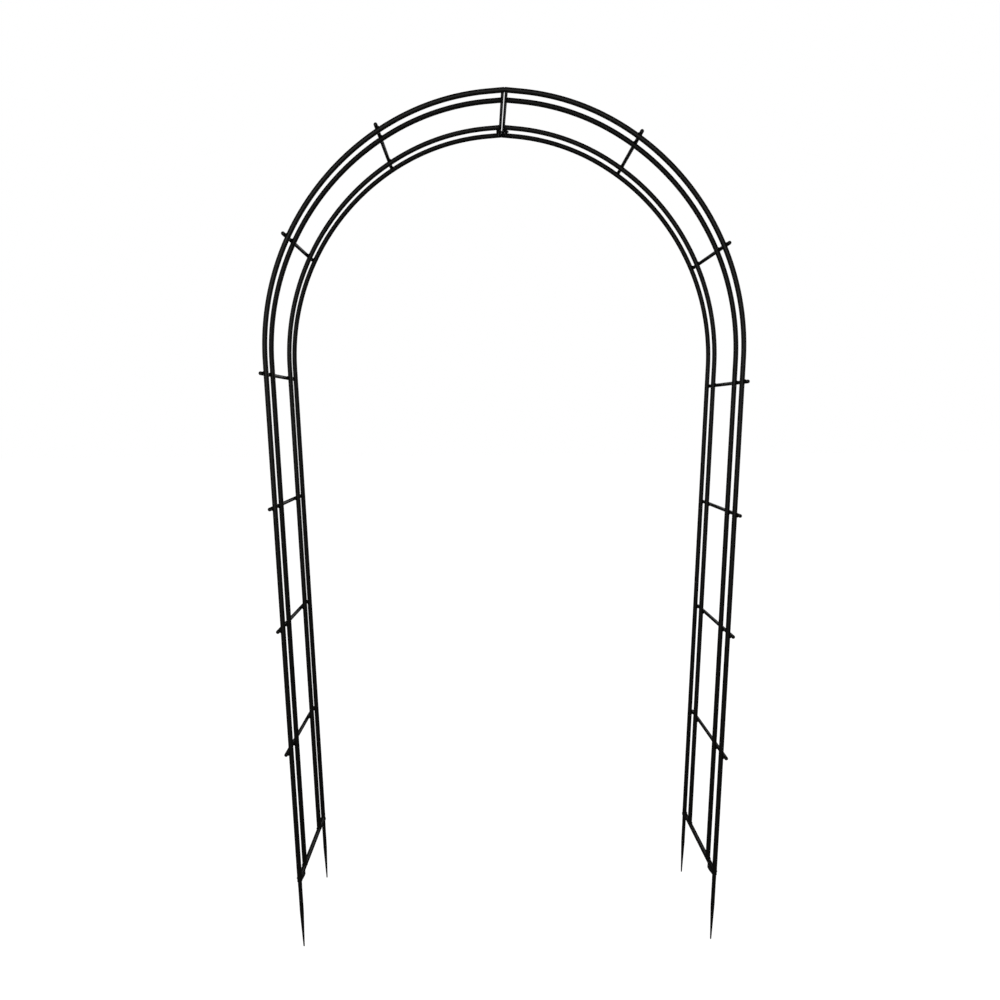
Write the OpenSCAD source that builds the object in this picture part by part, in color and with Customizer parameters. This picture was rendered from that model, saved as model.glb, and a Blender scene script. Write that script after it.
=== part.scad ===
// Metal trellis arch: two welded ladder halves, bent over and joined at the crown, on four ground stakes.
// X runs across the walkway, Y through the arch from front to back, Z up. Z = 0 is the level of the
// stake points, and X = Y = 0 is the middle of the arch.

/* [Arch outline] */
// Overall width over the rails at the widest place
arch_w = 1370; // [1150:1:1650]
// Straight length of each leg, from the bottom bar to the start of the bend
leg_l = 1535; // [1200:1:1900]
// Lean of each leg: the feet stand closer together than the shoulders
leg_lean = 1.95; // [0:0.05:4]
// Radius of the flatter bend over the crown
crown_r = 663; // [550:1:850]
// Angle that the crown bend turns through, on each half
crown_sweep = 23.6; // [15:0.1:30]
// Rise of each half where it reaches the middle, which gives the crown its slight peak
crown_rise = 5; // [0:0.1:8]
// Straight end of each rail beside the crown seam
crown_stub = 45; // [35:1:80]
// Gap between the two halves at the underside of the crown seam
seam_gap = 0.4; // [0.2:0.1:2]

/* [Rails] */
// Outer diameter of the rail tube
rail_d = 14.5; // [14:0.5:20]
// Wall of the rail tube
rail_wall = 1; // [0.8:0.1:1.5]
// Distance between the centre lines of the front and rear outer rails
outer_span = 384; // [340:1:500]
// Distance between the centre lines of the two inner rails
inner_span = 232; // [120:1:270]

/* [Rungs and bars] */
// Diameter of the rungs, solid rod
rung_d = 11; // [6:0.5:13]
// How far each rung runs past the centre line of the outer rails
rung_overhang = 15; // [12:1:40]
// Distance below the start of the bend at which the shoulder rung sits
shoulder_drop = 34; // [15:1:80]
// Angle along the bend from one rung to the next
bend_pitch = 31.1; // [24:0.1:34]
// Hand-set shift of the three leg rungs from an even pitch, lowest first
leg_rung_shift = [14, 8, -10]; // [-20:1:20]
// How much lower the rungs of the right half sit than those of the left half
right_rung_drop = 29; // [0:1:40]
// Outer diameter of the bottom bar tube
bar_d = 14; // [9:0.1:14]
// Wall of the bottom bar tube
bar_wall = 1; // [0.8:0.1:1.5]
// Diameter of the rod across the end of each half at the crown
crown_rod_d = 8.5; // [6:0.5:9]
// Clear gap between the two crown rods
crown_rod_gap = 2; // [2:0.5:6]

/* [Ground stakes] */
// Length of each stake below the bottom bar's centre line, to its point
stake_l = 216; // [180:1:300]
// Diameter of the round part of each stake that goes into the ground
stake_d = 12; // [8:0.1:12]
// Length of the stake's tapered point
stake_taper = 112; // [60:1:130]
// Diameter of the blunt end of the point
stake_tip_d = 4; // [1.5:0.1:6]
// Length of stake shank held inside the rail
shank_l = 60; // [30:1:120]
// Clearance all round between an inserted piece and the rail's bore
bore_clear = 0.05; // [0.03:0.01:0.1]
// Length of the treading plate behind each front stake
step_l = 70; // [50:1:150]
// Height of the treading plate below the bottom bar, at its rear end
step_h = 18; // [8:1:25]
// Height of the treading plate below the bottom bar, where it meets the stake
step_toe_h = 6; // [1:0.5:8]
// Thickness of the treading plate
step_t = 4; // [3:0.5:6]

/* [Crown joint] */
// Length of the dowel on each side of the seam
dowel_l = 32; // [20:1:34]
// Clear gap between the rear inner rail and the clamp lugs behind it
lug_gap = 1; // [0.5:0.5:16]
// Bolt thread diameter
bolt_d = 6; // [5:1:6]
// Clearance of the bolt in the lug holes, on the diameter
bolt_clear = 0.6; // [0.2:0.1:1]
// Thickness of each lug
lug_t = 2.5; // [2:0.5:4]
// Width of each lug
lug_w = 20; // [16:1:22]

/* [Hidden] */
$fn = 48;
SIDES = ["left", "right"];
RAIL_NAMES = ["front_outer", "front_inner", "rear_inner", "rear_outer"];
BLACK = [0.09, 0.09, 0.085];
ZINC = [0.2, 0.2, 0.2];
CUT = 1;                         // how far a cutting solid runs past the face it cuts
BIG = 200;                       // more than the length of any piece that is trimmed by a half space
ARC_FN = 240;                    // facets of a full turn of a bend
DEG = 180 / PI;                  // degrees in a radian
CLOSING_H = 0.03;                // height and width of the rings that close a rail's stretches
CLOSING_W = 1;

// Section radii
rail_r = rail_d / 2;
bore_r = rail_r - rail_wall;
rung_r = rung_d / 2;
bar_r = bar_d / 2;
crown_rod_r = crown_rod_d / 2;
fit_r = bore_r - bore_clear;     // shanks and dowels in the rail's bore

// Outline of the right half's rail centre line, in the XZ plane. The leg leans outward as it rises, the
// shoulder bend takes it past upright, and the crown bend brings it to the rise beside the seam.
half_w = arch_w / 2 - rail_r;
shoulder_turn = 90 - crown_rise - crown_sweep;    // turn past upright at the end of the shoulder bend
shoulder_sweep = shoulder_turn + leg_lean;
stub_end_x = seam_gap / 2 + rail_r * sin(crown_rise);
shoulder_r = (half_w - stub_end_x - crown_stub * cos(crown_rise)
    - crown_r * (cos(shoulder_turn) - sin(crown_rise))) / (1 - cos(shoulder_turn));
shoulder_l = shoulder_sweep / DEG * shoulder_r;
crown_l = crown_sweep / DEG * crown_r;

// Levels and places, worked up from the stake points
bar_z = stake_l * cos(leg_lean) + stake_tip_d / 2 * sin(leg_lean);
leg_top_x = half_w - shoulder_r * (1 - cos(leg_lean));
leg_top_z = bar_z + leg_l * cos(leg_lean);
foot_x = leg_top_x - leg_l * sin(leg_lean);
shoulder_cx = half_w - shoulder_r;
shoulder_cz = leg_top_z + shoulder_r * sin(leg_lean);
crown_cx = shoulder_cx + (shoulder_r - crown_r) * cos(shoulder_turn);
crown_cz = shoulder_cz + (shoulder_r - crown_r) * sin(shoulder_turn);
stub_x = crown_cx + crown_r * sin(crown_rise);
stub_z = crown_cz + crown_r * cos(crown_rise);
stub_end_z = stub_z + crown_stub * sin(crown_rise);

RAIL_Y = [-outer_span / 2, -inner_span / 2, inner_span / 2, outer_span / 2];
rung_l = outer_span + 2 * rung_overhang;

// Rungs: an even pitch up the leg to the shoulder rung, then an even angle round the bend
shoulder_rung = leg_l - shoulder_drop;
rung_pitch = shoulder_rung / 4;
bend_pitch_l = bend_pitch / DEG * shoulder_r;
function rung_s(k) = k <= 3 ? k * rung_pitch + leg_rung_shift[k - 1] : shoulder_rung + (k - 4) * bend_pitch_l;

// Crown rods: one lies against the cut ends of each half's two inner rails
crown_rod_x = crown_rod_gap / 2 + crown_rod_r;
crown_rod_z = stub_end_z - (crown_rod_x - stub_end_x) * tan(crown_rise);

// Crown clamp: the bolt passes just below both crown rods, through a lug on the outer side of each
bolt_under_rod = 0.6;            // between the bolt and the crown rods above it
bolt_y = inner_span / 2 + rail_r + lug_gap + lug_w / 2;
bolt_z = crown_rod_z - crown_rod_r - bolt_d / 2 - bolt_under_rod;
lug_x = crown_rod_x + crown_rod_r;
lug_below = lug_w / 2;           // the lug reaches this far below the bolt's centre
washer_t = 1.2;
washer_r = bolt_d;
head_h = bolt_d * 0.65;          // hexagon sizes follow the thread, as on standard bolts
hex_r = bolt_d * 0.96;
nut_h = bolt_d * 0.8;
thread_end = 3.5;                // thread that shows past the nut
thread_clear = 0.05;             // nut bore to bolt, all round

// Stake: the collar stays full size down to the foot of the treading plate
tread_foot = bar_r + step_h;
collar_l = tread_foot + 2;
rail_foot = bar_r;               // the outer rails end level with the underside of the bottom bar
nose_share = 0.5;                // depth of a rung's domed end, as a share of its radius

// ---- Placing helpers ----

// Everything is modelled on the right half. The left half is its mirror image.
module side(name) {
    if (name == "right") children();
    else mirror([1, 0, 0]) children();
}

// Frame of the right leg: origin where the rail's centre line meets the bottom bar, +Z up the leg
module leg_frame(y = 0) {
    translate([foot_x, y, bar_z]) rotate([0, leg_lean, 0]) children();
}

// Frame of the right stub: origin at its seam end, +Z along the rail away from the seam
module stub_frame(y = 0) {
    translate([stub_end_x, y, stub_end_z]) rotate([0, 90 + crown_rise, 0]) children();
}

// A frame at distance s along the right rail from the bottom bar: +X points outward, square to the rail
module on_rail(s) {
    on_shoulder = s - leg_l;
    on_crown = on_shoulder - shoulder_l;
    if (on_shoulder <= 0) leg_frame() translate([0, 0, s]) children();
    else if (on_crown <= 0) translate([shoulder_cx, 0, shoulder_cz])
        rotate([0, leg_lean - on_shoulder / shoulder_r * DEG, 0]) translate([shoulder_r, 0, 0]) children();
    else translate([crown_cx, 0, crown_cz])
        rotate([0, -shoulder_turn - on_crown / crown_r * DEG, 0]) translate([crown_r, 0, 0]) children();
}

// A solid rod of radius r and length l along Y, centred
module rod_y(r, l) {
    rotate([90, 0, 0]) cylinder(r = r, h = l, center = true);
}

// ---- Rails ----

// A stretch of bend about (cx, cz), from angle a0 by sweep, both measured from +X towards +Z
module bend(r, cx, cz, a0, sweep, y) {
    translate([cx, y, cz]) rotate([90, 0, 0]) rotate([0, 0, a0]) rotate_extrude(angle = sweep, $fn = ARC_FN)
        translate([r, 0]) difference() {
            circle(r = rail_r, $fn = 48);
            circle(r = bore_r, $fn = 48);
        }
}

module tube(outer, inner, l) {
    difference() {
        cylinder(r = outer, h = l);
        translate([0, 0, -CUT]) cylinder(r = inner, h = l + 2 * CUT);
    }
}

// Bent part of a rail, from the top of the leg to the stub. A ring a hair larger than the tube closes each
// place where one stretch ends and the next begins, so that they make one sound solid.
module rail_bends(y) {
    bend(shoulder_r, shoulder_cx, shoulder_cz, -leg_lean, shoulder_sweep, y);
    bend(crown_r, crown_cx, crown_cz, shoulder_turn, crown_sweep, y);
    for (s = [leg_l, leg_l + shoulder_l, leg_l + shoulder_l + crown_l])
        on_rail(s) translate([0, y, -CLOSING_W / 2]) tube(rail_r + CLOSING_H, bore_r - CLOSING_H, CLOSING_W);
}

// Outer rails run past the bottom bar and end in a square cut at the seam
module outer_rail(y) {
    leg_frame(y) translate([0, 0, -rail_foot]) tube(rail_r, bore_r, leg_l + rail_foot);
    rail_bends(y);
    stub_frame(y) tube(rail_r, bore_r, crown_stub);
}

// Inner rails are notched over the bottom bar and the crown rod
module inner_rail(y) {
    difference() {
        leg_frame(y) tube(rail_r, bore_r, leg_l);
        translate([foot_x, y, bar_z]) rod_y(bar_r, rail_d + 2 * CUT);
    }
    rail_bends(y);
    difference() {
        stub_frame(y) tube(rail_r, bore_r, crown_stub);
        translate([crown_rod_x, y, crown_rod_z]) rod_y(crown_rod_r, rail_d + 2 * CUT);
        translate([crown_rod_x - BIG, y - BIG / 2, crown_rod_z - BIG / 2]) cube(BIG);
    }
}

module rail(name, k) {
    color(BLACK) side(name) {
        if (k == 0 || k == 3) outer_rail(RAIL_Y[k]);
        else inner_rail(RAIL_Y[k]);
    }
}

// ---- Rungs and bars ----

// Rungs lie across the outside of all four rails, with rounded ends
module rung(name, k) {
    drop = name == "right" ? right_rung_drop : 0;
    nose = rung_r * nose_share;
    color(BLACK) side(name) on_rail(rung_s(k) - drop) translate([rail_r + rung_r, 0, 0]) rotate([90, 0, 0])
        rotate_extrude() polygon([
            for (a = [0:15:90]) [rung_r * sin(a), -rung_l / 2 + nose * (1 - cos(a))],
            for (a = [90:-15:0]) [rung_r * sin(a), rung_l / 2 - nose * (1 - cos(a))]
        ]);
}

// The bottom bar fits between the outer rails, its ends notched to the rails' round
module bottom_bar(name) {
    color(BLACK) side(name) difference() {
        translate([foot_x, 0, bar_z]) rotate([90, 0, 0]) translate([0, 0, -outer_span / 2])
            tube(bar_r, bar_r - bar_wall, outer_span);
        for (y = [RAIL_Y[0], RAIL_Y[3]]) leg_frame(y) translate([0, 0, -BIG / 2]) cylinder(r = rail_r, h = BIG);
    }
}

// The crown rod fits between the outer rails in the same way
module crown_rod(name) {
    color(BLACK) side(name) difference() {
        translate([crown_rod_x, 0, crown_rod_z]) rod_y(crown_rod_r, outer_span);
        for (y = [RAIL_Y[0], RAIL_Y[3]]) stub_frame(y) translate([0, 0, -BIG / 2]) cylinder(r = rail_r, h = BIG);
    }
}

// ---- Ground stakes ----

module stake(name, y) {
    color(BLACK) side(name) leg_frame(y) rotate([180, 0, 0]) {
        translate([0, 0, -shank_l]) cylinder(r = fit_r, h = shank_l + collar_l);
        translate([0, 0, collar_l]) cylinder(r = stake_d / 2, h = stake_l - stake_taper - collar_l);
        translate([0, 0, stake_l - stake_taper])
            cylinder(r1 = stake_d / 2, r2 = stake_tip_d / 2, h = stake_taper, $fn = 48);
    }
}

// Flat plate on edge under the front end of the bottom bar, its lower edge curving up to the stake
module step_plate(name) {
    color(BLACK) side(name) difference() {
        leg_frame(RAIL_Y[0]) translate([-step_t / 2, 0, 0]) rotate([90, 0, 90]) linear_extrude(step_t)
            polygon([
                [0, 0],
                for (t = [0:0.1:1]) [step_l * t, -bar_r - step_toe_h - (step_h - step_toe_h) * sin(90 * t)],
                [step_l, 0]
            ]);
        translate([foot_x, 0, bar_z]) rod_y(bar_r, outer_span);
        translate([foot_x - BIG / 2, -outer_span / 2 - BIG / 2, bar_z]) cube([BIG, BIG * 2, BIG]);
        leg_frame(RAIL_Y[0]) translate([0, 0, -rail_foot]) cylinder(r = rail_r, h = BIG);
        leg_frame(RAIL_Y[0]) translate([0, 0, -BIG / 2]) cylinder(r = fit_r, h = BIG);
    }
}

// ---- Crown joint ----

// A short round pin inside each pair of outer rails, mitred at the seam to follow both halves
module crown_dowel(y) {
    color(ZINC) for (s = SIDES) side(s) difference() {
        stub_frame(y) translate([0, 0, -dowel_l]) cylinder(r = fit_r, h = 2 * dowel_l);
        translate([-BIG, y - BIG / 2, stub_end_z - BIG / 2]) cube(BIG);
    }
}

// Lug welded to the outer side of a crown rod
module crown_lug(name) {
    color(BLACK) side(name) difference() {
        translate([lug_x, bolt_y - lug_w / 2, bolt_z - lug_below])
            cube([lug_t, lug_w, lug_below + crown_rod_z + crown_rod_r - bolt_z]);
        translate([lug_x - CUT, bolt_y, bolt_z]) rotate([0, 90, 0])
            cylinder(r = (bolt_d + bolt_clear) / 2, h = lug_t + 2 * CUT);
    }
}

// Clamp bolt: the head is on the left, the nut on the right
module crown_bolt() {
    grip = lug_x + lug_t + washer_t;
    color(ZINC) translate([-grip, bolt_y, bolt_z]) rotate([0, 90, 0]) {
        cylinder(r = bolt_d / 2, h = 2 * grip + nut_h + thread_end);
        translate([0, 0, -head_h]) cylinder(r = hex_r, h = head_h, $fn = 6);
    }
}

module crown_washers() {
    color(ZINC) for (x = [-lug_x - lug_t - washer_t, lug_x + lug_t])
        translate([x, bolt_y, bolt_z]) rotate([0, 90, 0]) tube(washer_r, (bolt_d + bolt_clear) / 2, washer_t);
}

module crown_nut() {
    color(ZINC) translate([lug_x + lug_t + washer_t, bolt_y, bolt_z]) rotate([0, 90, 0]) difference() {
        cylinder(r = hex_r, h = nut_h, $fn = 6);
        translate([0, 0, -CUT]) cylinder(r = bolt_d / 2 + thread_clear, h = nut_h + 2 * CUT);
    }
}

// ---- Nodes ----

for (s = SIDES) {
    for (k = [0:3]) rail(s, k);
    for (k = [1:6]) rung(s, k);
    bottom_bar(s);
    crown_rod(s);
    stake(s, RAIL_Y[0]);
    stake(s, RAIL_Y[3]);
    step_plate(s);
    crown_lug(s);
}
crown_dowel(RAIL_Y[0]);  // front_crown_dowel
crown_dowel(RAIL_Y[3]);  // rear_crown_dowel
crown_bolt();
crown_washers();
crown_nut();
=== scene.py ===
"""Metal trellis arch: finished tubes, rods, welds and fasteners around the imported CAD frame, in metres."""

import math

import bmesh
import bpy
import numpy as np
from mathutils import Matrix, Vector


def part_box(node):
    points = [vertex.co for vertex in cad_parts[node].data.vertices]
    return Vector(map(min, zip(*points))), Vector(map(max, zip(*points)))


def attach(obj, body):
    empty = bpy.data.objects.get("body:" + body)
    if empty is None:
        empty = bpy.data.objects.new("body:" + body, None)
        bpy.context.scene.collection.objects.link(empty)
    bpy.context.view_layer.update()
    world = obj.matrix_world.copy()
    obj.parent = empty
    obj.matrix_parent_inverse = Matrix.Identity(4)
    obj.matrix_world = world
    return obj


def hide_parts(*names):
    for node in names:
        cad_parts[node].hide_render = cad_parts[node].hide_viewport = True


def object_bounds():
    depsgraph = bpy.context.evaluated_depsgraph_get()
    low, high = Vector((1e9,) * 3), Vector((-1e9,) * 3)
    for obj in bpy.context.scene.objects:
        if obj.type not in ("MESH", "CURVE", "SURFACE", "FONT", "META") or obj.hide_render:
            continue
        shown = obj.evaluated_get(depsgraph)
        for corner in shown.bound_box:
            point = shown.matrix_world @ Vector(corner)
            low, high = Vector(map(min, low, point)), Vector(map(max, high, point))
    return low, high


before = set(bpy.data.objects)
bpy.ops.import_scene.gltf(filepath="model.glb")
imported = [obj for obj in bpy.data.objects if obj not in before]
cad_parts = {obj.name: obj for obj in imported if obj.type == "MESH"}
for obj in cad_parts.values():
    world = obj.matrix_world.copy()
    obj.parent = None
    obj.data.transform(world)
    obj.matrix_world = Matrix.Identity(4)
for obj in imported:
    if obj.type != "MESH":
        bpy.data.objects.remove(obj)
cad_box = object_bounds()

# ---- Driving sizes, the same as in the CAD source ----

ARCH_W = 1.370
LEG_L = 1.535
LEG_LEAN = math.radians(1.95)
CROWN_R = 0.663
CROWN_SWEEP = math.radians(23.6)
CROWN_RISE = math.radians(5)
CROWN_STUB = 0.045
SEAM_GAP = 0.0004
RAIL_R = 0.00725
BORE_R = 0.00625
RAIL_Y = {"front_outer": -0.192, "front_inner": -0.116, "rear_inner": 0.116, "rear_outer": 0.192}
OUTER_Y = RAIL_Y["rear_outer"]
RUNG_R = 0.0055
RUNG_OVERHANG = 0.015
SHOULDER_DROP = 0.034
BEND_PITCH = math.radians(31.1)
LEG_RUNG_SHIFT = (0.014, 0.008, -0.010)
RIGHT_RUNG_DROP = 0.029
BAR_R = 0.007
BAR_WALL = 0.001
CROWN_ROD_R = 0.00425
CROWN_ROD_GAP = 0.002
STAKE_L = 0.216
STAKE_R = 0.006
STAKE_TAPER = 0.112
STAKE_TIP_R = 0.002
SHANK_L = 0.060
FIT_R = 0.0062
STEP_L = 0.070
STEP_H = 0.018
STEP_TOE_H = 0.006
STEP_T = 0.004
DOWEL_L = 0.032
BOLT_R = 0.003
LUG_HOLE_R = 0.0033
LUG_T = 0.0025
LUG_W = 0.020
LUG_GAP = 0.001
WASHER_T = 0.0012
WASHER_R = 0.006
HEAD_H = 0.0039
HEX_R = 0.00576
NUT_H = 0.0048
THREAD_END = 0.0035
BOLT_UNDER_ROD = 0.0006

# ---- Sizes that only the finished surfaces have ----

SIDES = 32  # round a rail, rod or stake
HEX_SIDES = 96  # round a bolt head or nut, a multiple of six so that its corners are true
STRAIGHT_STEP = 0.030  # between rings along a straight stretch
BEND_STEP = 0.012  # between rings along a bend
CUT_EDGE = 0.0003  # rounding of a sawn tube end
PLATE_EDGE = 0.0005  # rounding of a plate's edges
WELD_SINK = 0.45  # how deep a bead lies, as a share of its radius
RIPPLE_L = 0.0013  # from one ripple of a bead to the next
RIPPLE = 0.09  # height of the ripples, as a share of the bead's radius
BEAD_SIDES = 10
SHARP_ANGLE = math.radians(38)  # an edge that turns by more than this is drawn sharp
RAIL_END = 0.004  # plain stretch of a rail left between its shaped end and its next ring
BAR_END = 0.010  # the same on a rung, bar or rod
COLLAR_PAST_STEP = 0.002  # how far the stake's full-size collar runs below the treading plate
STEP_SINK = 0.0003  # how deep the treading plate's front edge lies in the stake
DOWEL_EDGE = 0.0006  # chamfer of a dowel's ends
DOWEL_STRAIGHT = 0.004  # from a dowel's mitre to its next ring
WASHER_EDGE = 0.00025
NUT_CLEAR = 0.00005  # nut bore to bolt, all round
NUT_MOUTH = 0.0006  # chamfer at both ends of the nut's bore
LUG_CORNER = 14  # the higher, the squarer the lug's corners
THREAD_TIP = 0.0008  # how far the end face of the bolt is drawn in
THREAD_LEAD = 0.002  # thread starts this far past the middle of the grip
THREAD_PITCH = 0.001
THREAD_DEPTH = 0.0005
RUNG_WELD = 0.0019  # radius of each kind of bead, here and below
RUNG_WELD_HALF = 0.0045  # half the length of a rung's bead
RUNG_WELD_WANDER = 0.0005  # how far a rung's bead may sit to one side
BAR_WELD = 0.0016
FOOT_WELD = 0.0016
STAKE_WELD = 0.0011
STEP_WELD = 0.0013
STEP_STITCHES = ((0.010, 0.028), (0.046, 0.066))  # start and end of each stitch, behind the stake's centre
CROWN_ROD_WELD = 0.0014
CROWN_RAIL_WELD = 0.0013
LUG_WELD = 0.0015
LUG_WELD_SHORT = 0.001  # how far the lug's beads stop short of its corners
FIT_LIMIT = 0.0007  # furthest that a rebuilt piece's box may be from its CAD node's

# ---- Outline of the right half's rails, worked out as the CAD does ----

HALF_W = ARCH_W / 2 - RAIL_R
SHOULDER_TURN = math.pi / 2 - CROWN_RISE - CROWN_SWEEP
STUB_END_X = SEAM_GAP / 2 + RAIL_R * math.sin(CROWN_RISE)
SHOULDER_R = (
    HALF_W
    - STUB_END_X
    - CROWN_STUB * math.cos(CROWN_RISE)
    - CROWN_R * (math.cos(SHOULDER_TURN) - math.sin(CROWN_RISE))
) / (1 - math.cos(SHOULDER_TURN))
SHOULDER_L = (SHOULDER_TURN + LEG_LEAN) * SHOULDER_R
CROWN_L = CROWN_SWEEP * CROWN_R
BENDS_END = LEG_L + SHOULDER_L + CROWN_L
RAIL_L = BENDS_END + CROWN_STUB

BAR_Z = STAKE_L * math.cos(LEG_LEAN) + STAKE_TIP_R * math.sin(LEG_LEAN)
FOOT_X = HALF_W - SHOULDER_R * (1 - math.cos(LEG_LEAN)) - LEG_L * math.sin(LEG_LEAN)
SHOULDER_CX = HALF_W - SHOULDER_R
SHOULDER_CZ = BAR_Z + LEG_L * math.cos(LEG_LEAN) + SHOULDER_R * math.sin(LEG_LEAN)
CROWN_CX = SHOULDER_CX + (SHOULDER_R - CROWN_R) * math.cos(SHOULDER_TURN)
CROWN_CZ = SHOULDER_CZ + (SHOULDER_R - CROWN_R) * math.sin(SHOULDER_TURN)

SHOULDER_RUNG = LEG_L - SHOULDER_DROP
CROWN_ROD_X = CROWN_ROD_GAP / 2 + CROWN_ROD_R
ROD_FROM_END = (CROWN_ROD_X - STUB_END_X) / math.cos(CROWN_RISE)
BOLT_Y = RAIL_Y["rear_inner"] + RAIL_R + LUG_GAP + LUG_W / 2
LUG_X = CROWN_ROD_X + CROWN_ROD_R
HEX_FLAT = HEX_R * math.cos(math.pi / 6)  # from the middle of a head or nut to its flats

ACROSS = np.array([0.0, 1.0, 0.0])  # direction of the rungs and bars


def rail_frame(s, y=0.0):
    """Place, outward direction and upward direction of the right rail, s from the bottom bar's centre."""
    if s <= LEG_L:
        turn = -LEG_LEAN
        x, z = FOOT_X + s * math.sin(LEG_LEAN), BAR_Z + s * math.cos(LEG_LEAN)
    elif s <= LEG_L + SHOULDER_L:
        turn = (s - LEG_L) / SHOULDER_R - LEG_LEAN
        x, z = SHOULDER_CX + SHOULDER_R * math.cos(turn), SHOULDER_CZ + SHOULDER_R * math.sin(turn)
    else:
        turn = SHOULDER_TURN + min(s - LEG_L - SHOULDER_L, CROWN_L) / CROWN_R
        x, z = CROWN_CX + CROWN_R * math.cos(turn), CROWN_CZ + CROWN_R * math.sin(turn)
    outward = np.array([math.cos(turn), 0.0, math.sin(turn)])
    along = np.array([-math.sin(turn), 0.0, math.cos(turn)])
    return np.array([x, y, z]) + max(s - BENDS_END, 0.0) * along, outward, along


def rung_place(k, name):
    """Distance of rung k, counted from 1 at the bottom, along the rails of that half."""
    if k <= len(LEG_RUNG_SHIFT):
        s = k * SHOULDER_RUNG / 4 + LEG_RUNG_SHIFT[k - 1]
    else:
        s = SHOULDER_RUNG + (k - 4) * BEND_PITCH * SHOULDER_R
    return s - (RIGHT_RUNG_DROP if name == "right" else 0.0)


CROWN_ROD = rail_frame(RAIL_L - ROD_FROM_END)[0]
BOLT_Z = CROWN_ROD[2] - CROWN_ROD_R - BOLT_R - BOLT_UNDER_ROD
LUG_BELOW = LUG_W / 2
LUG_ABOVE = CROWN_ROD[2] + CROWN_ROD_R - BOLT_Z


# ---- Mesh building ----


def angles(sides):
    return np.arange(sides) * 2 * math.pi / sides


def ring(centre, u, v, axis, radius, shift=0.0, sides=SIDES):
    """Points round axis from u towards v. The radius and the shift along the axis may differ all round."""
    a = angles(sides)
    radius, shift = np.broadcast_to(radius, sides), np.broadcast_to(shift, sides)
    return (
        centre
        + np.outer(radius * np.cos(a), u)
        + np.outer(radius * np.sin(a), v)
        + np.outer(shift, axis)
    )


def skin(rings, loop=False):
    """Points and faces over a row of rings. Both ends are closed, or they are joined where loop is set."""
    rings = np.asarray(rings)
    count, sides = rings.shape[:2]
    faces = []
    for i in range(count if loop else count - 1):
        j = (i + 1) % count
        for k in range(sides):
            m = (k + 1) % sides
            faces.append((i * sides + k, i * sides + m, j * sides + m, j * sides + k))
    if not loop:
        faces.append(tuple(range(sides)))
        faces.append(tuple((count - 1) * sides + k for k in range(sides)))
    return rings.reshape(-1, 3), faces


def lathe(profile, centre, u, v, axis, sides=SIDES, loop=False):
    """A turned form from (place along the axis, radius) pairs."""
    return skin([ring(centre, u, v, axis, r, a, sides) for a, r in profile], loop)


def spread(start, end, step):
    """Even places from start to end, no further than step apart."""
    return np.linspace(start, end, max(2, int(math.ceil((end - start) / step)) + 1))


def piece(name, forms, material, nodes=(), mirrored=False):
    """A piece of the object from (points, faces) forms, in place of its CAD nodes."""
    points, faces = [], []
    for form_points, form_faces in forms:
        faces += [tuple(i + len(points) for i in face) for face in form_faces]
        points += [tuple(p) for p in form_points]
    if mirrored:
        points = [(-x, y, z) for x, y, z in points]
    mesh = bpy.data.meshes.new(name)
    mesh.from_pydata(points, [], faces)
    work = bmesh.new()
    work.from_mesh(mesh)
    bmesh.ops.recalc_face_normals(work, faces=work.faces)
    work.to_mesh(mesh)
    work.free()
    mesh.shade_smooth()
    mesh.set_sharp_from_angle(angle=SHARP_ANGLE)
    mesh.materials.append(material)
    made = bpy.data.objects.new(name, mesh)
    bpy.context.scene.collection.objects.link(made)
    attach(made, "root")
    if nodes:
        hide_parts(*nodes)
        check_fit(made, nodes)
    return made


def check_fit(made, nodes):
    """Stops the script if a rebuilt piece isn't where its CAD nodes are."""
    corners = [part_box(n) for n in nodes]
    low = np.min([c[0] for c in corners], axis=0)
    high = np.max([c[1] for c in corners], axis=0)
    points = np.array([v.co for v in made.data.vertices])
    off = max(np.abs(points.min(0) - low).max(), np.abs(points.max(0) - high).max())
    if off > FIT_LIMIT:
        raise ValueError(f"{made.name} is {off * 1000:.2f} mm off {nodes}")


# ---- Materials ----


class Nodes:
    """Adds shader nodes to a new material and wires them up."""

    def __init__(self, name):
        self.material = bpy.data.materials.new(name)
        self.material.use_nodes = True
        self.tree = self.material.node_tree
        self.shader = self.tree.nodes["Principled BSDF"]
        self.place = self.tree.nodes.new("ShaderNodeTexCoord").outputs["Object"]

    def noise(self, size, detail=2.0, roughness=0.5):
        """A noise value whose features are about size metres across."""
        node = self.tree.nodes.new("ShaderNodeTexNoise")
        node.inputs["Scale"].default_value = 1 / size
        node.inputs["Detail"].default_value = detail
        node.inputs["Roughness"].default_value = roughness
        self.tree.links.new(self.place, node.inputs["Vector"])
        return node.outputs["Fac"]

    def ramp(self, value, low, high, start, end):
        """Turns a value from low to high into a smooth run from start to end, both numbers or colours."""
        node = self.tree.nodes.new("ShaderNodeValToRGB")
        for element, at, colour in zip(node.color_ramp.elements, (low, high), (start, end)):
            element.position = at
            element.color = (*colour, 1) if isinstance(colour, tuple) else (colour, colour, colour, 1)
        self.tree.links.new(value, node.inputs["Fac"])
        return node.outputs["Color"]

    def bump(self, height, distance, strength, under=None):
        node = self.tree.nodes.new("ShaderNodeBump")
        node.inputs["Distance"].default_value = distance
        node.inputs["Strength"].default_value = strength
        self.tree.links.new(height, node.inputs["Height"])
        if under is not None:
            self.tree.links.new(under, node.inputs["Normal"])
        return node.outputs["Normal"]

    def set(self, **values):
        for name, value in values.items():
            socket = self.shader.inputs[name.replace("_", " ")]
            if isinstance(value, bpy.types.NodeSocket):
                self.tree.links.new(value, socket)
            else:
                socket.default_value = value


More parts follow.
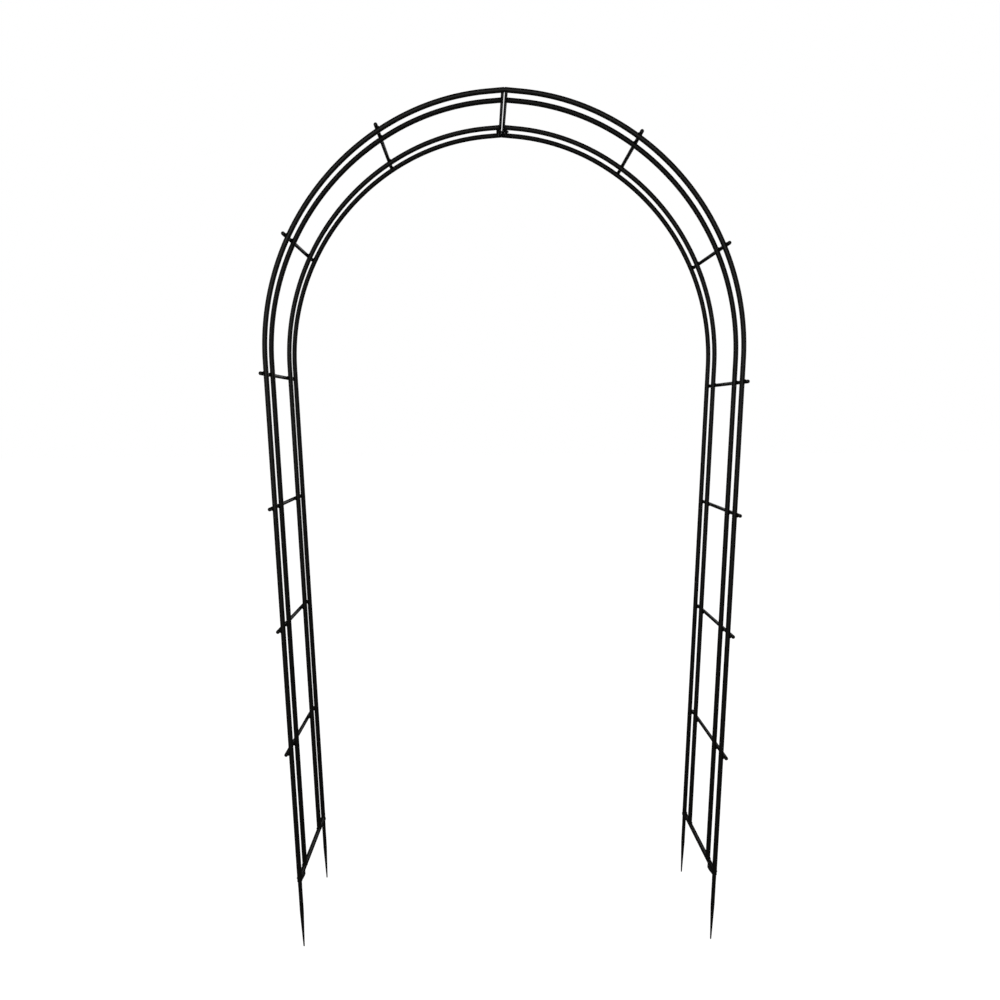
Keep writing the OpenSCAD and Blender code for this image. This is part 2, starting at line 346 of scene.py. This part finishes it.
def powder_coat(name, texture):
    """Black powder coating with the faint orange peel of the real thing. Texture is how rough it lies."""
    m = Nodes(name)
    patches = m.noise(0.11, detail=4)
    peel = m.noise(0.0016, detail=2)
    grain = m.noise(0.00045, detail=3, roughness=0.6)
    m.set(
        Base_Color=m.ramp(patches, 0.3, 0.7, (0.0056, 0.0052, 0.0038), (0.0092, 0.0086, 0.0066)),
        Roughness=m.ramp(m.noise(0.02, detail=5), 0.25, 0.75, 0.40, 0.52),
        Specular_IOR_Level=0.30,
        Normal=m.bump(grain, 0.00003, 0.5, m.bump(peel, 0.00009 * texture, 0.6)),
    )
    return m.material


def blackened_steel(name):
    """Blackened steel of the bolt, nut, washers and dowels, with fine rub marks."""
    m = Nodes(name)
    rubbed = m.noise(0.0009, detail=6, roughness=0.7)
    m.set(
        Base_Color=m.ramp(rubbed, 0.45, 0.8, (0.012, 0.012, 0.012), (0.060, 0.058, 0.054)),
        Metallic=0.85,
        Roughness=m.ramp(m.noise(0.003, detail=4), 0.3, 0.7, 0.34, 0.50),
        Normal=m.bump(rubbed, 0.00003, 0.5),
    )
    return m.material


COAT = powder_coat("black_powder_coat", 1.0)
WELD_COAT = powder_coat("black_powder_coat_over_welds", 2.5)
STEEL = blackened_steel("blackened_steel")


# ---- Rails ----


def rail_rings(ends, radius):
    """Rings along a rail at one radius. Ends are the places of its foot and of its seam end, all round."""
    foot, seam = ends
    stations = np.concatenate(
        [
            spread(float(np.max(foot)) + RAIL_END, LEG_L, STRAIGHT_STEP),
            spread(LEG_L, LEG_L + SHOULDER_L, BEND_STEP)[1:],
            spread(LEG_L + SHOULDER_L, BENDS_END, BEND_STEP)[1:],
            spread(BENDS_END, float(np.min(seam)) - RAIL_END, STRAIGHT_STEP)[1:],
        ]
    )
    return [*ends_ring(foot, radius), *stations_rings(stations, radius), *ends_ring(seam, radius)]


def ends_ring(places, radius):
    base, outward, along = rail_frame(float(np.mean(places)))
    return [ring(base, outward, ACROSS, along, radius, places - np.mean(places))]


def stations_rings(stations, radius):
    made = []
    for s in stations:
        base, outward, along = rail_frame(s)
        made.append(ring(base, outward, ACROSS, along, radius))
    return made


def square_ends(radius):
    """Ends of an outer rail at this radius, square to it, level with the bar's underside and at the seam."""
    return np.full(SIDES, -BAR_R), np.full(SIDES, RAIL_L)


def notched_ends(radius):
    """Ends of an inner rail at this radius, sawn to lie over the bottom bar and against the crown rod."""
    over = radius * np.cos(angles(SIDES))
    foot = np.sqrt(np.maximum(BAR_R**2 - over**2, 0))
    on_rod = np.sqrt(np.maximum(CROWN_ROD_R**2 - over**2, 0))
    flat = np.where(np.abs(over) > CROWN_ROD_R, -over * math.tan(CROWN_RISE), 0)
    return foot, RAIL_L - ROD_FROM_END - on_rod - flat


def rail(name, y, ends):
    """A hollow rail: its outside from foot to seam, then its bore back again, with rounded sawn edges."""
    foot, seam = ends(RAIL_R)
    inner_foot, inner_seam = ends(BORE_R)
    outside = rail_rings((foot + CUT_EDGE, seam - CUT_EDGE), RAIL_R)
    bore = rail_rings((inner_foot + CUT_EDGE, inner_seam - CUT_EDGE), BORE_R)
    rings = [
        *ends_ring(foot, RAIL_R - CUT_EDGE),
        *outside,
        *ends_ring(seam, RAIL_R - CUT_EDGE),
        *ends_ring(inner_seam, BORE_R + CUT_EDGE),
        *bore[::-1],
        *ends_ring(inner_foot, BORE_R + CUT_EDGE),
    ]
    points, faces = skin(rings, loop=True)
    return points + y * ACROSS, faces


def build_rails(side):
    for name, y in RAIL_Y.items():
        node = f"{side}_rail_{name}"
        ends = square_ends if abs(y) == OUTER_Y else notched_ends
        piece(f"{node}_tube", [rail(name, y, ends)], COAT, [node], side == "left")


# ---- Rungs, bottom bars and crown rods ----


def build_rungs(side):
    half = OUTER_Y + RUNG_OVERHANG
    nose = RUNG_R / 2
    cap = [(nose * (1 - math.cos(a)), RUNG_R * math.sin(a)) for a in np.radians(range(6, 91, 12))]
    for k in range(1, 7):
        s = rung_place(k, side)
        base, outward, along = rail_frame(s)
        profile = [
            *[(-half + a, r) for a, r in cap],
            *[(y, RUNG_R) for y in spread(-half + nose + BAR_END, half - nose - BAR_END, STRAIGHT_STEP)],
            *[(half - a, r) for a, r in reversed(cap)],
        ]
        centre = base + outward * (RAIL_R + RUNG_R)
        rod = lathe(profile, centre, outward, along, ACROSS)
        node = f"{side}_rung_{k}"
        piece(f"{node}_rod", [rod], COAT, [node], side == "left")


def coped(radius, sign):
    """How far along Y a round bar of this radius reaches, up to the face of the outer rail on that side."""
    over = radius * np.cos(angles(SIDES))
    return sign * (OUTER_Y - np.sqrt(RAIL_R**2 - over**2))


def build_bottom_bar(side):
    base, outward, along = rail_frame(0.0)
    bore = BAR_R - BAR_WALL

    def at(places, radius):
        return ring(base, outward, along, ACROSS, radius, places)

    middle = spread(-OUTER_Y + BAR_END, OUTER_Y - BAR_END, STRAIGHT_STEP)
    rings = [
        at(coped(BAR_R, -1), BAR_R),
        *[at(y, BAR_R) for y in middle],
        at(coped(BAR_R, 1), BAR_R),
        at(coped(bore, 1), bore),
        *[at(y, bore) for y in middle[::-1]],
        at(coped(bore, -1), bore),
    ]
    node = f"{side}_bottom_bar"
    piece(f"{node}_tube", [skin(rings, loop=True)], COAT, [node], side == "left")


def build_crown_rod(side):
    base, outward, along = rail_frame(RAIL_L - ROD_FROM_END)
    places = [
        coped(CROWN_ROD_R, -1),
        *spread(-OUTER_Y + BAR_END, OUTER_Y - BAR_END, STRAIGHT_STEP),
        coped(CROWN_ROD_R, 1),
    ]
    rings = [ring(base, outward, along, ACROSS, CROWN_ROD_R, y) for y in places]
    node = f"{side}_crown_rod"
    piece(f"{node}_bar", [skin(rings)], COAT, [node], side == "left")


# ---- Ground stakes and treading plates ----


def build_stakes(side):
    base, outward, along = rail_frame(0.0)
    collar = BAR_R + STEP_H + COLLAR_PAST_STEP
    start = STAKE_L - STAKE_TAPER
    point = [
        (STAKE_L - STAKE_TIP_R * (1 - math.sin(a)) * 0.8, STAKE_TIP_R * math.cos(a))
        for a in np.radians((0, 30, 60, 85))
    ]
    taper = [
        (start + STAKE_TAPER * t, STAKE_R + (STAKE_TIP_R - STAKE_R) * t) for t in np.linspace(0.02, 0.97, 9)
    ]
    profile = [
        (-SHANK_L, FIT_R - CUT_EDGE),
        (-SHANK_L + CUT_EDGE, FIT_R),
        *[(a, FIT_R) for a in np.linspace(-0.03, collar - 0.0004, 3)],
        (collar, STAKE_R),
        *[(a, STAKE_R) for a in np.linspace(collar + 0.002, start - 0.002, 5)],
        (start, STAKE_R - 0.00002),
        *taper,
        *point,
    ]
    for end, y in (("front", -OUTER_Y), ("rear", OUTER_Y)):
        form = lathe(profile, base + y * ACROSS, outward, ACROSS, -along)
        node = f"{side}_{end}_stake"
        piece(f"{node}_spike", [form], COAT, [node], side == "left")


def build_step_plate(side):
    """Flat plate on edge behind the stake, under the bar, its lower edge curving up to the stake."""
    base, outward, along = rail_frame(0.0)
    front = FIT_R - STEP_SINK
    bar_face = -math.sqrt(BAR_R**2 - (STEP_T / 2) ** 2)
    lower = [
        (y, -BAR_R - STEP_TOE_H - (STEP_H - STEP_TOE_H) * math.sin(math.pi / 2 * y / STEP_L))
        for y in np.linspace(front, STEP_L, 24)
    ]
    outline = np.array([*lower, *[(y, bar_face) for y in np.linspace(STEP_L, front, 24)]])
    middle = outline.mean(0)
    size = np.ptp(outline, axis=0)

    def at(x, inset):
        shrunk = middle + (outline - middle) * (1 - 2 * inset / size)
        return base + np.outer(shrunk[:, 0] - OUTER_Y, ACROSS) + np.outer(shrunk[:, 1], along) + x * outward

    half = STEP_T / 2
    rings = [
        at(-half, PLATE_EDGE),
        at(-half + PLATE_EDGE * 0.3, PLATE_EDGE * 0.3),
        at(-half + PLATE_EDGE, 0),
        at(half - PLATE_EDGE, 0),
        at(half - PLATE_EDGE * 0.3, PLATE_EDGE * 0.3),
        at(half, PLATE_EDGE),
    ]
    node = f"{side}_step_plate"
    piece(f"{node}_blade", [skin(rings)], COAT, [node], side == "left")


# ---- Crown joint ----

X, Z = np.array([1.0, 0.0, 0.0]), np.array([0.0, 0.0, 1.0])


def build_lug(side):
    """Lug with rounded corners and a bolt hole, on the outer side of the crown rod."""
    a = angles(HEX_SIDES)
    up, over = np.cos(a), np.sin(a)
    centre = np.array([LUG_X, BOLT_Y, BOLT_Z])

    def outline(inset):
        """Distance from the hole's centre to the lug's edge, all round."""
        reach = np.where(up > 0, LUG_ABOVE, LUG_BELOW) - inset
        wide = LUG_W / 2 - inset
        return (np.abs(up / reach) ** LUG_CORNER + np.abs(over / wide) ** LUG_CORNER) ** (-1 / LUG_CORNER)

    def at(x, radius):
        return ring(centre, Z, ACROSS, X, radius, x, HEX_SIDES)

    rings = [
        at(0, outline(PLATE_EDGE)),
        at(PLATE_EDGE, outline(0)),
        at(LUG_T - PLATE_EDGE, outline(0)),
        at(LUG_T, outline(PLATE_EDGE)),
        at(LUG_T, LUG_HOLE_R + CUT_EDGE),
        at(LUG_T - CUT_EDGE, LUG_HOLE_R),
        at(CUT_EDGE, LUG_HOLE_R),
        at(0, LUG_HOLE_R + CUT_EDGE),
    ]
    node = f"{side}_crown_lug"
    piece(f"{node}_plate", [skin(rings, loop=True)], COAT, [node], side == "left")


def hexagon(sides=HEX_SIDES):
    """Distance from a hexagon's centre to its edge, all round, with corners at the ring's start."""
    return HEX_FLAT / np.cos(angles(sides) % (math.pi / 3) - math.pi / 6)


def chamfered_end(at, out):
    """Two rings of a hexagon's end at this place along its axis: the round face and the scalloped edge."""
    face = HEX_FLAT * 0.97
    edge = (hexagon() - face) * math.tan(math.radians(30))
    return [(at, face), (at - out * edge, hexagon())]


def thread(start, end):
    """Turns of thread from start to end, with a chamfered tip."""
    made = []
    for a in np.arange(start, end, THREAD_PITCH / 8):
        phase = (a / THREAD_PITCH - angles(HEX_SIDES) / (2 * math.pi)) % 1
        wave = np.clip(np.abs(phase - 0.5) * 2.4 - 0.1, 0, 1)
        fade = min(1.0, (a - start) / THREAD_PITCH)
        tip = max(0.0, a - (end - THREAD_PITCH * 0.8)) * 0.8
        made.append((a, BOLT_R - THREAD_DEPTH * wave * fade - tip))
    return made


def build_bolt():
    grip = LUG_X + LUG_T + WASHER_T
    end = 2 * grip + NUT_H + THREAD_END
    origin = np.array([-grip, BOLT_Y, BOLT_Z])
    head = [*chamfered_end(-HEAD_H, -1), (-PLATE_EDGE / 2, hexagon()), (0, hexagon() - PLATE_EDGE / 2)]
    shank = [(0, BOLT_R + CUT_EDGE), (CUT_EDGE, BOLT_R), (grip, BOLT_R)]
    profile = [*head, *shank, *thread(grip + THREAD_LEAD, end), (end, BOLT_R - THREAD_TIP)]
    form = lathe(profile, origin, Z, ACROSS, X, HEX_SIDES)
    piece("crown_bolt_body", [form], STEEL, ["crown_bolt"])


def build_nut():
    at = np.array([LUG_X + LUG_T + WASHER_T, BOLT_Y, BOLT_Z])
    bore = BOLT_R + NUT_CLEAR
    profile = [
        (NUT_MOUTH, bore),
        (0.0, bore + NUT_MOUTH),
        *chamfered_end(0.0, -1),
        *reversed(chamfered_end(NUT_H, 1)),
        (NUT_H, bore + NUT_MOUTH),
        (NUT_H - NUT_MOUTH, bore),
    ]
    form = lathe(profile, at, Z, ACROSS, X, HEX_SIDES, loop=True)
    piece("crown_nut_body", [form], STEEL, ["crown_nut"])


def build_washers():
    edge = WASHER_EDGE
    profile = [
        (0, LUG_HOLE_R + edge),
        (0, WASHER_R - edge),
        (edge, WASHER_R),
        (WASHER_T - edge, WASHER_R),
        (WASHER_T, WASHER_R - edge),
        (WASHER_T, LUG_HOLE_R + edge),
        (WASHER_T - edge, LUG_HOLE_R),
        (edge, LUG_HOLE_R),
    ]
    forms = [
        lathe(profile, np.array([x, BOLT_Y, BOLT_Z]), Z, ACROSS, X, HEX_SIDES, loop=True)
        for x in (-LUG_X - LUG_T - WASHER_T, LUG_X + LUG_T)
    ]
    piece("crown_washers_pair", forms, STEEL, ["crown_washers"])


def build_dowels():
    """Round pins inside the outer rails, mitred in the middle so that they follow both halves."""
    base, outward, along = rail_frame(RAIL_L)
    out = -along
    mitre = -(base[0] + FIT_R * np.cos(angles(SIDES)) * outward[0]) / out[0]
    half = [
        ring(base, outward, ACROSS, out, FIT_R - DOWEL_EDGE, DOWEL_L),
        ring(base, outward, ACROSS, out, FIT_R, DOWEL_L - DOWEL_EDGE),
        ring(base, outward, ACROSS, out, FIT_R, DOWEL_STRAIGHT),
    ]
    rings = [*half, ring(base, outward, ACROSS, out, FIT_R, mitre), *[r * (-1, 1, 1) for r in half[::-1]]]
    for end, y in (("front", -OUTER_Y), ("rear", OUTER_Y)):
        points, faces = skin(rings)
        node = f"{end}_crown_dowel"
        piece(f"{node}_pin", [(points + y * ACROSS, faces)], STEEL, [node])


# ---- Welds ----

random = np.random.default_rng(11)


def bead(path, radius, across, loop=False):
    """A weld bead along a path, with ripples. Across is a direction that the path never follows."""
    path = np.asarray(path)
    if loop:
        step = np.roll(path, -1, 0) - np.roll(path, 1, 0)
        lengths = np.linalg.norm(np.roll(path, -1, 0) - path, axis=1)
    else:
        step = np.gradient(path, axis=0)
        lengths = np.linalg.norm(np.diff(path, axis=0), axis=1)
    run = np.concatenate([[0], np.cumsum(lengths)])[: len(path)]
    turns = max(2, round(lengths.sum() / RIPPLE_L))
    ripple = 1 + RIPPLE * np.abs(np.sin(math.pi * run / lengths.sum() * turns)) - RIPPLE / 2
    rings = []
    for point, direction, r in zip(path, step, np.broadcast_to(radius, len(path)) * ripple):
        u = np.cross(direction, across)
        u /= np.linalg.norm(u)
        v = np.cross(direction, u)
        v /= np.linalg.norm(v)
        rings.append(ring(point, u, v, v, r, 0.0, BEAD_SIDES))
    return skin(rings, loop)


def crease_bead(corner, plane, way, rod_r, half, size, face_r=None):
    """A bead along Y in the crease between a rod and the face that it lies on.

    Corner is where the two touch, plane the direction from the face to the rod, way the side of the rod
    that the bead lies on, and face_r the radius of the face where it is round.
    """
    y = np.linspace(-half, half, 25)
    r = size * np.sqrt(1 - (y / half * 0.985) ** 2) ** 0.7
    fall = 0 if face_r is None else face_r - np.sqrt(face_r**2 - y**2)
    height = WELD_SINK * r - fall
    side = np.sqrt(np.maximum((rod_r + WELD_SINK * r) ** 2 - (rod_r - height) ** 2, 0))
    path = corner + np.outer(height, plane) + np.outer(side, way) + np.outer(y, ACROSS)
    return bead(path, r, plane)


def build_rung_welds(side):
    """Short beads above and below each rung, on each of the four rails."""
    for k in range(1, 7):
        s = rung_place(k, side)
        forms = []
        for y in RAIL_Y.values():
            base, outward, along = rail_frame(s, y)
            for way in (along, -along):
                shift = random.uniform(-RUNG_WELD_WANDER, RUNG_WELD_WANDER) * ACROSS
                half = RUNG_WELD_HALF * random.uniform(0.9, 1.1)
                size = RUNG_WELD * random.uniform(0.85, 1.15)
                corner = base + outward * RAIL_R + shift
                forms.append(crease_bead(corner, outward, way, RUNG_R, half, size, RAIL_R))
        piece(f"{side}_rung_{k}_welds", forms, WELD_COAT, mirrored=side == "left")


def bar_end_ring(base, outward, along, rod_r, sign, size):
    """A bead all round the end of a bar, where it meets the outer rail on that side."""
    a = angles(72)
    x, z = rod_r * np.cos(a), rod_r * np.sin(a)
    reach = np.sqrt(RAIL_R**2 - x**2)
    bar_normal = np.outer(np.cos(a), outward) + np.outer(np.sin(a), along)
    rail_normal = np.outer(x / RAIL_R, outward) - sign * np.outer(reach / RAIL_R, ACROSS)
    on_joint = base + np.outer(x, outward) + np.outer(z, along) + np.outer(sign * (OUTER_Y - reach), ACROSS)
    return bead(on_joint + WELD_SINK * size * (bar_normal + rail_normal) / 2, size, ACROSS, loop=True)


def rail_foot_ring(base, outward, along, size):
    """A bead all round the foot of an inner rail, where it sits on the bottom bar."""
    a = angles(84)
    x, y = RAIL_R * np.cos(a), RAIL_R * np.sin(a)
    over = np.clip(x, -0.96 * BAR_R, 0.96 * BAR_R)
    z = np.sqrt(BAR_R**2 - over**2)
    rail_normal = np.outer(np.cos(a), outward) + np.outer(np.sin(a), ACROSS)
    bar_normal = np.outer(over / BAR_R, outward) + np.outer(z / BAR_R, along)
    on_joint = base + np.outer(over, outward) + np.outer(y, ACROSS) + np.outer(z, along)
    return bead(on_joint + WELD_SINK * size * (rail_normal + bar_normal) / 2, size, along, loop=True)


def stake_ring(base, outward, along, size):
    """A bead round the stake where it comes out of the rail."""
    a = angles(72)
    radius = FIT_R + WELD_SINK * size
    path = base + np.outer(radius * np.cos(a), outward) + np.outer(radius * np.sin(a), ACROSS)
    return bead(path - along * (BAR_R + size * 0.2), size, along, loop=True)


def build_foot_welds(side):
    base, outward, along = rail_frame(0.0)
    forms = []
    for sign in (-1, 1):
        forms.append(bar_end_ring(base, outward, along, BAR_R, sign, BAR_WELD))
        forms.append(stake_ring(base + sign * OUTER_Y * ACROSS, outward, along, STAKE_WELD))
        inner = base + sign * RAIL_Y["rear_inner"] * ACROSS
        forms.append(rail_foot_ring(inner, outward, along, FOOT_WELD))
    piece(f"{side}_foot_welds", forms, WELD_COAT, mirrored=side == "left")


def build_step_welds(side):
    """Stitches along both faces of the treading plate, under the bar and beside the stake."""
    base, outward, along = rail_frame(0.0, -OUTER_Y)
    size = STEP_WELD
    forms = []
    for way in (-1, 1):
        edge = base + way * (STEP_T / 2 + WELD_SINK * size * 0.6) * outward
        under = math.sqrt(BAR_R**2 - (STEP_T / 2) ** 2) + WELD_SINK * size
        for start, end in STEP_STITCHES:
            y = np.linspace(start, end, 80)
            t = (y - start) / (end - start) * 2 - 1
            path = edge - under * along + np.outer(y, ACROSS)
            forms.append(bead(path, size * (1 - np.abs(t * 0.98) ** 6) ** 0.5, outward))
        beside = math.sqrt(FIT_R**2 - (STEP_T / 2) ** 2) + WELD_SINK * size * 0.6
        z = np.linspace(BAR_R + 0.0008, BAR_R + STEP_TOE_H, 20)
        t = (z - z[0]) / (z[-1] - z[0]) * 2 - 1
        path = edge + beside * ACROSS - np.outer(z, along)
        forms.append(bead(path, size * (1 - np.abs(t * 0.98) ** 6) ** 0.5, outward))
    piece(f"{side}_step_welds", forms, WELD_COAT, mirrored=side == "left")


def build_crown_welds(side):
    """Beads at the crown rod's ends, on both sides of the inner rails, and above and below the lug."""
    base, outward, along = rail_frame(RAIL_L - ROD_FROM_END)
    forms = []
    for sign in (-1, 1):
        forms.append(bar_end_ring(base, outward, along, CROWN_ROD_R, sign, CROWN_ROD_WELD))
        for way in (-1, 1):
            size = CROWN_RAIL_WELD
            u = np.linspace(-0.9, 0.9, 25) * CROWN_ROD_R
            w = np.sqrt(CROWN_ROD_R**2 - u**2)
            y = sign * RAIL_Y["rear_inner"] + way * (np.sqrt(RAIL_R**2 - u**2) + WELD_SINK * size / 2)
            r = size * np.sqrt(1 - (u / CROWN_ROD_R) ** 2 * 1.15) ** 0.6
            path = base + np.outer(u, outward) - np.outer(w + WELD_SINK * r / 2, along) + np.outer(y, ACROSS)
            forms.append(bead(path, r, ACROSS))
    touch = np.array([LUG_X, BOLT_Y, base[2]])
    for way in (Z, -Z):
        forms.append(crease_bead(touch, -X, way, CROWN_ROD_R, LUG_W / 2 - LUG_WELD_SHORT, LUG_WELD))
    piece(f"{side}_crown_welds", forms, WELD_COAT, mirrored=side == "left")


for side in ("left", "right"):
    build_rails(side)
    build_rungs(side)
    build_bottom_bar(side)
    build_crown_rod(side)
    build_stakes(side)
    build_step_plate(side)
    build_lug(side)
    build_rung_welds(side)
    build_foot_welds(side)
    build_step_welds(side)
    build_crown_welds(side)
build_bolt()
build_nut()
build_washers()
build_dowels()


# ---- Floor, light and camera ----


FLOOR_HALF = 30.0
FLOOR_Z = -0.0004  # just under the stake points


def build_floor():
    """A wide white floor that runs into the backdrop with no horizon and throws little light on the metal."""
    m = Nodes("pale_floor")
    ray = m.tree.nodes.new("ShaderNodeLightPath")
    m.set(Base_Color=(0.3, 0.3, 0.3, 1), Roughness=0.9, Specular_IOR_Level=0.0)
    m.set(Emission_Color=(1, 1, 1, 1), Emission_Strength=ray.outputs["Is Camera Ray"])
    mesh = bpy.data.meshes.new("floor")
    corners = [(x * FLOOR_HALF, y * FLOOR_HALF, FLOOR_Z) for x, y in ((-1, -1), (1, -1), (1, 1), (-1, 1))]
    mesh.from_pydata(corners, [], [(0, 1, 2, 3)])
    mesh.materials.append(m.material)
    floor = bpy.data.objects.new("floor", mesh)
    bpy.context.scene.collection.objects.link(floor)


def build_world():
    """A white backdrop that lights the metal less than it shines."""
    world = bpy.data.worlds.new("backdrop")
    world.use_nodes = True
    tree = world.node_tree
    tree.nodes.clear()
    output = tree.nodes.new("ShaderNodeOutputWorld")
    mix = tree.nodes.new("ShaderNodeMixShader")
    ray = tree.nodes.new("ShaderNodeLightPath")
    tree.links.new(ray.outputs["Is Camera Ray"], mix.inputs[0])
    for slot, strength in ((1, 0.05), (2, 1.0)):
        light = tree.nodes.new("ShaderNodeBackground")
        light.inputs["Color"].default_value = (1, 1, 1, 1)
        light.inputs["Strength"].default_value = strength
        tree.links.new(light.outputs["Background"], mix.inputs[slot])
    tree.links.new(mix.outputs["Shader"], output.inputs["Surface"])
    bpy.context.scene.world = world


def softbox(name, place, size, power):
    """A large square light that faces the middle of the arch."""
    data = bpy.data.lights.new(name, "AREA")
    data.shape = "SQUARE"
    data.size = size
    data.energy = power
    light = bpy.data.objects.new(name, data)
    light.location = place
    middle = (cad_box[0] + cad_box[1]) / 2
    light.rotation_euler = (middle - light.location).to_track_quat("-Z", "Y").to_euler()
    bpy.context.scene.collection.objects.link(light)


def build_camera():
    """The photograph's viewpoint: close, at eye height, a little left of the middle, tilted down."""
    data = bpy.data.cameras.new("camera")
    data.sensor_width = 36
    data.lens = 30.70
    camera = bpy.data.objects.new("camera", data)
    yaw, pitch, roll = 0.0207, 0.1008, -0.0053
    camera.matrix_world = (
        Matrix.Translation(Vector((-0.0689, -2.634, 1.599)))
        @ Matrix.Rotation(-yaw, 4, "Z")
        @ Matrix.Rotation(math.pi / 2 - pitch, 4, "X")
        @ Matrix.Rotation(roll, 4, "Z")
    )
    bpy.context.scene.collection.objects.link(camera)
    bpy.context.scene.camera = camera


build_floor()
build_world()
softbox("key_light", (-0.6, -4.6, 2.4), 2.6, 60)
softbox("left_light", (-4.2, -0.6, 2.6), 2.0, 12)
softbox("right_light", (4.2, 0.4, 2.2), 2.0, 12)
softbox("back_light", (0.8, 4.4, 2.8), 2.4, 20)
build_camera()
bpy.context.scene.view_settings.view_transform = "Standard"
